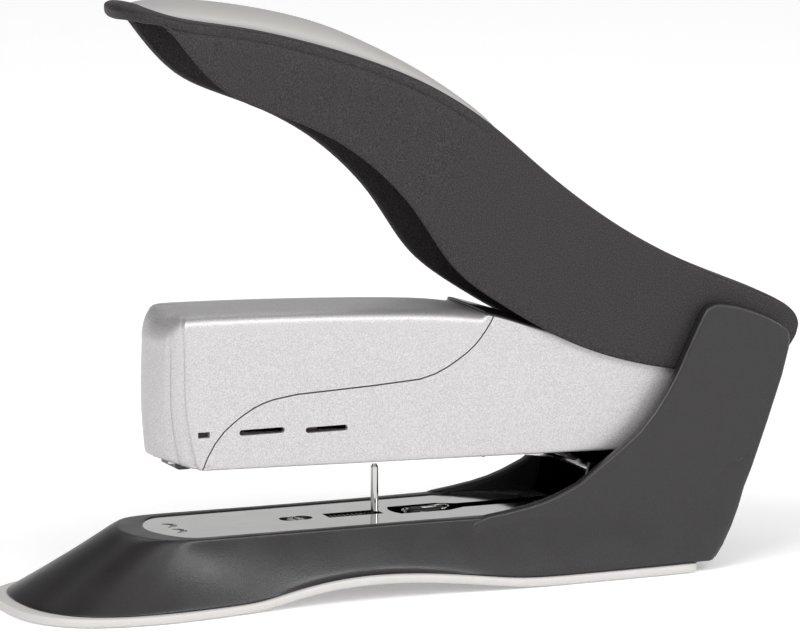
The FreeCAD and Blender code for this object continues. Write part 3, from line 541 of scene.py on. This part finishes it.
# %% Handle shell
# Upper x, z, lower x, z, half width.
HANDLE_STATIONS = [
    (-103.4, 203.2, -103.0, 200.9, 0), (-103.1, 203.5, -102.7, 200.8, 5),
    (-102.0, 203.9, -101.5, 200.5, 9.4), (-100.2, 204.0, -99.8, 200.4, 13.0),
    (-97.9, 203.9, -97.5, 200.2, 16.6), (-95.2, 203.6, -94.8, 199.9, 19.9),
    (-92.2, 202.9, -92.0, 199.5, 22.2), (-90.2, 202.3, -90.6, 198.2, 22.6),
    (-87.4, 201.5, -88.4, 195.4, 22.9), (-82.5, 200.4, -84.6, 190.4, 23.2),
    (-75, 199.2, -79.4, 184.0, 23.6), (-67, 197.9, -73.2, 177.9, 24.0),
    (-58.5, 196.2, -66.4, 173.2, 24.0), (-47, 193.3, -56, 168.8, 23.9), (-32, 188.8, -43, 163.9, 23.5),
    (-17, 183.6, -31, 157.8, 22.8), (-3, 177.8, -20.6, 150.9, 22.1), (10, 171.2, -10.8, 142.3, 21.5),
    (22, 163.6, -1.6, 132.3, 21.1), (32.7, 155.2, 5.6, 121.0, 21), (43, 145.8, 11.8, 111.8, 21),
    (52, 138.2, 19.4, 104.6, 21), (63, 129.6, 31, 96.8, 21), (75, 121.2, 44, 88.6, 21),
    (88, 113.4, 60, 80.1, 21), (101, 106.7, 78, 73.9, 21), (113, 101.3, 95, 70.1, 21),
    (124, 96.7, 110, 67.9, 21), (132, 93.4, 122, 67.3, 21), (137.6, 90.5, 131, 69.0, 21),
    (141.0, 87.6, 137, 72.8, 21), (142.4, 84.8, 140.6, 77.6, 20.9), (142.6, 82.6, 142.0, 80.4, 20.6)]
GROOVE_END = 29.0


def handle_rib(top_x, top_z, low_x, low_z, half):
    """From the lower edge up the wall, past the groove and the band, and over the roof."""
    top, low = Vector((top_x, top_z)), Vector((low_x, low_z))
    height = (top - low).length
    down = (low - top) / height
    groove = 0.55 if top_x < GROOVE_END and height > 3.9 else 0.0
    band = min(3.4, height * 0.7)
    wall = [(height, 0.5), (height - min(0.9, height * 0.2), 0.0)]
    wall += [(band + (height - band) * share, 0.0) for share in (0.66, 0.36)]
    wall += [(band + (height - band) * 0.12, 0.0), (band + 0.3 * (groove > 0), groove), (band - 0.1, groove),
             (band - min(0.45, band * 0.2), 0.0), (band * 0.3, 0.0), (0.25, 0.25)]
    rib = [(top.x + down.x * along, min(0, inset - half), top.y + down.y * along) for along, inset in wall]
    swell = 1.0 if top_x < 30 else 0.6
    crown = [(1.0, 0.08), (2.6, 0.35)]
    crown += [(half * (1 - share), 0.4 + (1 - share) * swell) for share in (0.6, 0.3, 0)]
    rib += [(top.x, min(0, inset - half), top.y + rise_mm * min(1, half / 12)) for inset, rise_mm in crown]
    return rib


handle = skin([handle_rib(*station) for station in HANDLE_STATIONS])
put("handle_body", both_sides(handle), "handle", "black_matte", ["handle_shell"], wall=2.0)

# %% [markdown]
# ## Palm insert
#
# A domed warm grey cover lies in the handle's roof, wide and flat at the front and narrowing to a
# round tip.  Ribs across it are flattened arches.

# %% Insert
# x, half width, crest height, seat height.
INSERT_STATIONS = [
    (-94.8, 0.05, 203.9, 203.5), (-94.3, 5.5, 204.3, 203.4), (-92.6, 10.2, 204.7, 203.1),
    (-89.4, 13.6, 205.0, 202.6), (-85.6, 15.8, 205.15, 201.9), (-81, 17.3, 205.1, 201.1),
    (-76, 18.4, 204.9, 200.4), (-68.9, 19.5, 204.2, 199.3), (-60, 20.2, 202.9, 197.9),
    (-48, 20.4, 200.6, 194.9), (-35, 20.3, 197.3, 191.0), (-23.6, 19.9, 193.4, 187.0),
    (-11.3, 19.2, 187.5, 182.1), (0.4, 18.2, 181.4, 177.0), (12.2, 16.6, 174.1, 170.6),
    (22, 14.2, 167.2, 164.2), (30, 11.0, 161.0, 158.5), (34.6, 7.4, 157.0, 154.9),
    (36.3, 3.2, 154.9, 153.4)]


def insert_rib(x, half, crest, seat):
    """A low arch across the insert, steep at its edges."""
    rib = [(x, -half, seat - 1.4), (x, -half, seat)]
    for angle in (12, 27, 45, 65, 90):
        turn = math.radians(angle)
        rib.append((x, -half * math.cos(turn) ** 0.9 if angle < 90 else 0.0,
                    seat + (crest - seat) * math.sin(turn)))
    return rib


insert = skin([insert_rib(*station) for station in INSERT_STATIONS])
put("handle_dome", both_sides(insert), "handle", "warm_grey_rubber", ["handle_insert"])

# %% [markdown]
# ## Silver head
#
# The head is a hood: straight sides, round shoulders and a bowed front with two upright pleats.
# Side ribs stand across the head.  Round the nose the ribs fan out from one point of the crest.
# It is one skin here, because the parts of the real head share one smooth surface.

# %% Hood
CREST = [(-94, 100.6), (-76, 100.4), (-55, 99.9), (-30, 98.9), (-15, 98.1), (0, 97.2), (14, 96.1),
         (22, 95.0), (31, 92.7), (45, 88.0), (70, 80.0), (112, 68.0)]


def crest_z(x):
    for (x0, z0), (x1, z1) in zip(CREST, CREST[1:]):
        if x <= x1:
            return z0 + (z1 - z0) * (x - x0) / (x1 - x0)
    return z1


BRIDGE_START = 26.5
HOOD_HALF = 18.3
FOOT_HEIGHT, FOOT_SLOPE = 47.2, 0.025


def side_rib(x):
    """One slice of the hood behind the nose: turned foot, upright side and shoulder."""
    foot, top = FOOT_HEIGHT - (x + 80) * FOOT_SLOPE, crest_z(x)
    upright = [(16.4, foot + 2), (16.7, foot), (17.8, foot), (HOOD_HALF, foot + 0.6), (HOOD_HALF, foot + 4)]
    upright += [(HOOD_HALF, foot + (top - 9 - foot) * share) for share in (0.35, 0.7, 1)]
    if x > BRIDGE_START:
        over = [(HOOD_HALF, 4), (HOOD_HALF, 1), (18.2, 0.3), (17.6, 0), (8, 0), (0, 0)]
    else:
        over = [(18.25, 4.6), (18.0, 3.0), (17.0, 1.5), (14.6, 0.6), (8, 0.1), (0, 0)]
    return [(x, -y, z) for y, z in upright + [(y, top - drop) for y, drop in over]]


# The valleys beside the two pleats, named by their distance from the middle.  They are deepest at
# the foot and fill up where the front bends over into the top.
PLEAT_VALLEYS = (16.7, 12.7)
VALLEY_DEPTH, VALLEY_FILL = 1.0, 0.7
# Round the nose from above: x, y, and how far the foot of the pleat sweeps back.
NOSE_PLAN = [
    (-76.5, 18.3, 0), (-79.5, 18.3, 2), (-81.8, 18.25, 3.6), (-83.2, 17.9, 4), (-83.9, 17.35, 4),
    (-83.55, 16.7, 4), (-85.2, 16.1, 3.6), (-86.6, 14.6, 3), (-87.6, 13.2, 2.6), (-87.2, 12.7, 2.5),
    (-88.7, 11.6, 2), (-89.8, 8.6, 1.2), (-90.8, 4.5, 0.4), (-91.2, 0, 0)]


# Shares of the way to the fan's centre and drops below the crest, at the middle and at the side.
FRONT_BEND = ((0.03, 9.8), (0.11, 6.2), (0.24, 3.2), (0.44, 1.3), (0.7, 0.35), (1, 0))
SIDE_BEND = ((0.0, 4.6), (0.015, 3.0), (0.07, 1.5), (0.2, 0.6), (0.56, 0.1), (1, 0))
NOSE_TOP, FAN_CENTRE = 100.4, -74.0
BOW = 0.9


def nose_rib(x, y, sweep):
    """One upright of the nose, bowed a little, that bends over to the fan's centre."""
    heel = FOOT_HEIGHT + 0.15 * max(0.0, -83 - x) ** 1.5
    in_valley = y in PLEAT_VALLEYS
    upright = [(2.0, heel + 2), (1.7, heel), (0.5, heel), (0, heel + 0.6), (0, heel + 4)]
    upright += [(0, heel + 5 + (NOSE_TOP - 15 - heel) * share) for share in (0.25, 0.6, 0.95)]
    rib = []
    for back, z in upright:
        share = (z - 48) / 40
        swept = sweep * max(0.0, 1 - share * 1.7) ** 1.5
        bow = 0.0
        if x < -80:
            bow = (BOW * math.sin(math.pi * min(1, max(0, share))) - BOW) * min(1, (-80 - x) / 6)
        valley = VALLEY_DEPTH * max(0.0, 1 - share * 1.5) * in_valley
        rib.append((x + swept + valley - bow + back * (x < -81), -y * (1 - back * 0.02), z))
    x -= VALLEY_FILL * in_valley
    front = min(1.0, max(0.0, (HOOD_HALF - y) / 8))
    for (share_f, drop_f), (share_s, drop_s) in zip(FRONT_BEND, SIDE_BEND):
        share = share_s + (share_f - share_s) * front
        drop = drop_s + (drop_f - drop_s) * front
        rib.append((x + (FAN_CENTRE - x) * share, -y * (1 - share), NOSE_TOP - drop))
    return rib


stations = [112, 104, 94, 82, 70, 57, 45, 37, 31, 28, 26.6, 26, 20, 10, -5, -20, -35, -50, -62, -70, -74]
hood = skin([side_rib(x) for x in stations] + [nose_rib(*station) for station in NOSE_PLAN])
head = put("head_hood", both_sides(hood), "head", "silver_paint", wall=1.8)

# %% [markdown]
# On the real head a narrow gap runs between the front cover and the two side panels.  Modelling each
# part by itself would never line up so well, so the finished hood is cut: a thin curved blade makes
# the seam, a thinner one frees the strip down the nose, round-ended cutters make the slots that show
# the staples, and two boxes open the rear and part the panels along the middle.

# %% Cutters
SEAM = [(-79.6, 40), (-78.6, 44.5), (-77.6, 47.4), (-75.6, 51.8), (-73, 56.2), (-69.8, 60),
        (-66.5, 62.7), (-62.8, 65.3), (-59.1, 67.4), (-55.4, 68.9), (-51.8, 69.9), (-43.4, 71.1),
        (-30, 71.6), (-15, 72.2), (1.8, 73.2), (7.3, 74.6), (11.6, 76.5), (15.6, 78.8), (19.2, 81.2),
        (22.1, 83.6), (24.3, 86), (26.2, 88.5), (27.6, 90.6), (28.8, 92.7), (30.4, 96.5), (32, 101),
        (33.5, 106)]


def carve(piece, cutter, wall=0.0):
    """Cut a sheet or block out of a piece for good; its earlier modifiers are applied first."""
    mesh = bpy.data.meshes.new("cutter")
    bmesh.ops.recalc_face_normals(cutter, faces=cutter.faces[:])
    cutter.to_mesh(mesh)
    cutter.free()
    tool = bpy.data.objects.new("cutter", mesh)
    bpy.context.collection.objects.link(tool)
    if wall:
        blade = tool.modifiers.new("wall", "SOLIDIFY")
        blade.thickness = wall * MM
        blade.offset = 0
    cut = piece.modifiers.new("cut", "BOOLEAN")
    cut.operation = "DIFFERENCE"
    cut.solver = "MANIFOLD"
    cut.object = tool
    graph = bpy.context.evaluated_depsgraph_get()
    carved = bpy.data.meshes.new_from_object(piece.evaluated_get(graph))
    piece.modifiers.clear()
    piece.data = carved
    bpy.data.objects.remove(tool)


def pill(x0, x1, z, half):
    """The outline of a slot with round ends."""
    turns = [math.radians(-90 + 180 * step / 6) for step in range(7)]
    return ([(x1 - half + half * math.cos(a), z + half * math.sin(a)) for a in turns] +
            [(x0 + half - half * math.cos(a), z - half * math.sin(a)) for a in turns])


carve(head, skin([[(x, y, z) for x, z in SEAM] for y in (-25, 25)]), wall=0.5)
strip = [(-12.75, 40), (-12.75, 96), (0, 96), (12.75, 96), (12.75, 40)]
carve(head, skin([[(x, y, z) for y, z in strip] for x in (-96, -79)]), wall=0.06)
for outline in (pill(-64.2, -47.7, 59.3, 1.0), pill(-40.1, -24.7, 58.5, 1.0),
                [(-79.1, 58.5), (-74.9, 58.5), (-74.9, 60.5), (-79.1, 60.5)]):
    carve(head, prism(outline, -25, 25))
carve(head, prism([(74, 60), (125, 50), (125, 95), (74, 95)], -16.1, 16.1))
carve(head, prism([(29, 70), (80, 70), (80, 105), (29, 105)], -0.15, 0.15))
print("hood faces after cutting:", len(head.data.polygons))

# %% [markdown]
# The cuts leave loose shells in one mesh: the cover, the strip down the middle of the nose and the
# two side panels.  Each becomes its own piece, as on the real head, where the panels clip on to the
# cover and the strip pulls out with the magazine.

# %% Split the hood into cover and panels
def islands(mesh):
    """The separate shells of a mesh, as sets of face numbers."""
    sheet = bmesh.new()
    sheet.from_mesh(mesh)
    sheet.faces.ensure_lookup_table()
    left = set(range(len(sheet.faces)))
    groups = []
    while left:
        queue, group = [left.pop()], []
        while queue:
            number = queue.pop()
            group.append(number)
            for edge in sheet.faces[number].edges:
                for other in edge.link_faces:
                    if other.index in left:
                        left.remove(other.index)
                        queue.append(other.index)
        groups.append(set(group))
    sheet.free()
    return groups


def shell_of(mesh, wanted):
    """A bmesh with only the wanted faces."""
    sheet = bmesh.new()
    sheet.from_mesh(mesh)
    extra = [face for face in sheet.faces if face.index not in wanted]
    bmesh.ops.delete(sheet, geom=extra, context="FACES")
    return sheet


hood_mesh = head.data
STANDS_FOR = {"hood_cover": ("head", ["head_cover"]),
              "hood_nose_strip": ("magazine", ["nose_panel"]),
              "hood_panel_near": ("head", ["side_panel_left"]),
              "hood_panel_far": ("head", ["side_panel_right"])}
kinds = {name: set() for name in STANDS_FOR}
for group in islands(hood_mesh):
    points = [hood_mesh.vertices[i].co for n in group for i in hood_mesh.polygons[n].vertices]
    middle = sum(point.y for point in points) / len(points)
    if max(point.x for point in points) < -80 * MM:
        kinds["hood_nose_strip"] |= group
    elif min(point.x for point in points) < -82 * MM:
        kinds["hood_cover"] |= group
    else:
        kinds["hood_panel_near" if middle < 0 else "hood_panel_far"] |= group
bpy.data.objects.remove(head)
for name, group in kinds.items():
    if group:
        body, nodes = STANDS_FOR[name]
        put(name, shell_of(hood_mesh, group), body, "silver_paint", nodes, soft=0)

# %% [markdown]
# ## Black bridge behind the cover
#
# From the seam's upper end the head's roof is a black plastic bridge that disappears between the
# handle's walls.  It lies on the panels' shoulders with a crisp edge.

# %% Bridge
def bridge_rib(x):
    top = crest_z(x)
    profile = ((17.7, -0.6), (17.75, 0.2), (17.3, 0.6), (15.5, 0.9), (12, 1.0), (0, 1.1))
    return [(x, -y, top + z) for y, z in profile]


bridge = skin([bridge_rib(x) for x in (26.8, 27.2, 29, 32, 38, 46, 58, 70, 84, 96)])
put("roof_bridge", both_sides(bridge), "head", "black_plastic", ["rear_cover"], wall=1.0)

# %% [markdown]
# ## Paper guide's slider
#
# Under the plate a black slider carries the upright pin.  Its thumb tongue shows in the plate's
# rear cut-out: a rounded bar with a pale inlay, held by a thin bright spring clip that curves
# round its end.

# %% Slider, tongue and clip
def bar(outline, z0, z1, round_mm):
    """A plan outline raised from z0 to z1 with its upper edge rounded."""
    block = bmesh.new()
    face = block.faces.new([block.verts.new(Vector((x, y, z0)) * MM) for x, y in outline])
    made = bmesh.ops.extrude_face_region(block, geom=[face])["geom"]
    moved = [item for item in made if isinstance(item, bmesh.types.BMVert)]
    bmesh.ops.translate(block, vec=(0, 0, (z1 - z0) * MM), verts=moved)
    rims = [edge for edge in block.edges if min(v.co.z for v in edge.verts) > (z1 - 0.01) * MM]
    bmesh.ops.bevel(block, geom=rims, offset=round_mm * MM, offset_type="OFFSET", affect="EDGES",
                    segments=3, profile=0.5, material=-1)
    return block


slider = bar([(-12, -7.5), (27, -7.5), (27, 7.5), (-12, 7.5)], 16.4, 21.2, 0.5)
put("slider_block", slider, "paper_guide", "black_plastic", ["guide_slider"], soft=0, even=True)
tongue = bar(pill(5, 18.5, 0, 3.0), 21.1, 24.9, 0.9)
put("slider_tongue", tongue, "paper_guide", "black_matte", soft=0, even=True)
inlay = bar(pill(9.5, 15.5, -0.4, 0.8), 24.5, 25.05, 0.2)
put("slider_inlay", inlay, "paper_guide", "polished_steel", soft=0, even=True)


def wire(name, points, radius_mm, body, slot):
    """A round wire along a smooth path."""
    path = bpy.data.curves.new(name, "CURVE")
    path.dimensions = "3D"
    path.bevel_depth = radius_mm * MM
    path.bevel_resolution = 3
    path.use_fill_caps = True
    line = path.splines.new("NURBS")
    line.points.add(len(points) - 1)
    for place, point in zip(line.points, points):
        place.co = (*(Vector(point) * MM), 1)
    line.order_u = 3
    line.use_endpoint_u = True
    piece = bpy.data.objects.new(name, path)
    bpy.context.collection.objects.link(piece)
    path.materials.append(FINISH[slot])
    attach(piece, body)
    print(name, "rides on", body)


CLIP_PATH = [(14, 3.3, 24.4), (17.4, 3.3, 24.7), (19.4, 2.2, 24.8), (19.8, 0, 24.8), (19.2, -2.2, 24.8),
             (17.6, -3.3, 24.7), (15.8, -3.4, 24.5)]
wire("slider_clip", CLIP_PATH, 0.28, "paper_guide", "polished_steel")
DETENT_PATH = [(1.5, -4.6, 23.6), (3.6, -2.6, 24.3), (2.6, 0.4, 24.3), (5.5, 2.8, 24.2), (7.5, -1.0, 24.2),
               (9.6, -4.2, 23.8)]
wire("detent_spring", DETENT_PATH, 0.45, "paper_guide", "spring_steel")

# %% [markdown]
# ## Studio
#
# A pale floor that glows a little, so that it runs away to plain white; one big soft key from the
# upper left, a weaker fill from the right, a strip in front that lights the leaning sides, and a
# strip behind that draws a thin line of light along the top edges.  A long lens from three metres
# keeps the sides nearly parallel, as in a catalogue picture.

# %% Floor
def make_floor():
    sheet = bmesh.new()
    bmesh.ops.create_grid(sheet, x_segments=1, y_segments=1, size=6.0)
    mesh = bpy.data.meshes.new("floor")
    sheet.to_mesh(mesh)
    sheet.free()
    floor = bpy.data.objects.new("floor", mesh)
    bpy.context.collection.objects.link(floor)
    f = Finish("floor_white", Specular_IOR_Level=0.1, Emission_Color=(1, 1, 1, 1), Emission_Strength=0.22,
               Roughness=0.9)
    f.feed("Base Color", f.blend(f.noise(400), grey(0.90), grey(0.92)))
    mesh.materials.append(f.material)


make_floor()

# %% [markdown]
# Each lamp is a rectangle that looks at the stapler, because a soft highlight needs a broad lamp.

# %% Lights
def soft_light(name, place, aim, size, power):
    data = bpy.data.lights.new(name, "AREA")
    data.shape = "RECTANGLE"
    data.size, data.size_y = size
    data.energy = power
    lamp = bpy.data.objects.new(name, data)
    lamp.location = place
    lamp.rotation_euler = (Vector(aim) - Vector(place)).to_track_quat("-Z", "Y").to_euler()
    bpy.context.collection.objects.link(lamp)


soft_light("key", (-1.5, -1.2, 1.8), (0, 0, 0.09), (1.5, 1.5), 34)
soft_light("fill", (1.9, -1.7, 0.8), (0, 0, 0.09), (1.0, 0.8), 11)
soft_light("front_strip", (0.5, -1.7, 1.5), (0, 0, 0.05), (1.4, 0.4), 14)
soft_light("back_strip", (0.5, 1.5, 1.5), (0, 0, 0.12), (1.6, 0.3), 4)

# %% [markdown]
# The surrounding studio is a white world that turns dark behind the object, from about ten degrees
# above the horizon upwards, as if a black card hung over a white backdrop.  Level faces reflect
# the white below the card; shoulders that lean towards the front pick up its dark.

# %% World
world = bpy.context.scene.world or bpy.data.worlds.new("studio")
bpy.context.scene.world = world
world.use_nodes = True
nodes, links = world.node_tree.nodes, world.node_tree.links
direction = nodes.new("ShaderNodeTexCoord")
parts = nodes.new("ShaderNodeSeparateXYZ")
links.new(direction.outputs["Generated"], parts.inputs[0])
behind = nodes.new("ShaderNodeMapRange")
behind.interpolation_type = "SMOOTHSTEP"
links.new(parts.outputs["Y"], behind.inputs["Value"])
high = nodes.new("ShaderNodeMapRange")
high.interpolation_type = "SMOOTHSTEP"
links.new(parts.outputs["Z"], high.inputs["Value"])
for stretch, values in ((behind, (-0.1, 0.5, 0.0, 1.0)), (high, (0.15, 0.32, 0.0, 1.0))):
    for index, value in enumerate(values, start=1):
        stretch.inputs[index].default_value = value
dark = nodes.new("ShaderNodeMath")
dark.operation = "MULTIPLY"
links.new(behind.outputs[0], dark.inputs[0])
links.new(high.outputs[0], dark.inputs[1])
shade = nodes.new("ShaderNodeMapRange")
links.new(dark.outputs[0], shade.inputs["Value"])
shade.inputs[3].default_value, shade.inputs[4].default_value = 0.80, 0.04
links.new(shade.outputs[0], nodes["Background"].inputs["Strength"])
nodes["Background"].inputs["Color"].default_value = (1, 1, 1, 1)
bpy.context.scene.view_settings.view_transform = "Standard"

# %% [markdown]
# The camera stands three metres off the stapler's front corner, ten degrees above it, and looks at
# the middle of the object.

# %% Camera
AIM = Vector((0.002, 0.0, 0.092))
DISTANCE = 3.0
azimuth, elevation = math.radians(-22.5), math.radians(10.0)
away = Vector((math.sin(azimuth) * math.cos(elevation), -math.cos(azimuth) * math.cos(elevation),
               math.sin(elevation)))
lens = bpy.data.cameras.new("camera")
lens.lens = 395.6
lens.sensor_width = 36.0
camera = bpy.data.objects.new("camera", lens)
camera.location = AIM + away * DISTANCE
camera.rotation_euler = (-away).to_track_quat("-Z", "Y").to_euler()
bpy.context.collection.objects.link(camera)
bpy.context.scene.camera = camera
print("camera looks at", tuple(AIM), "from", DISTANCE, "m")
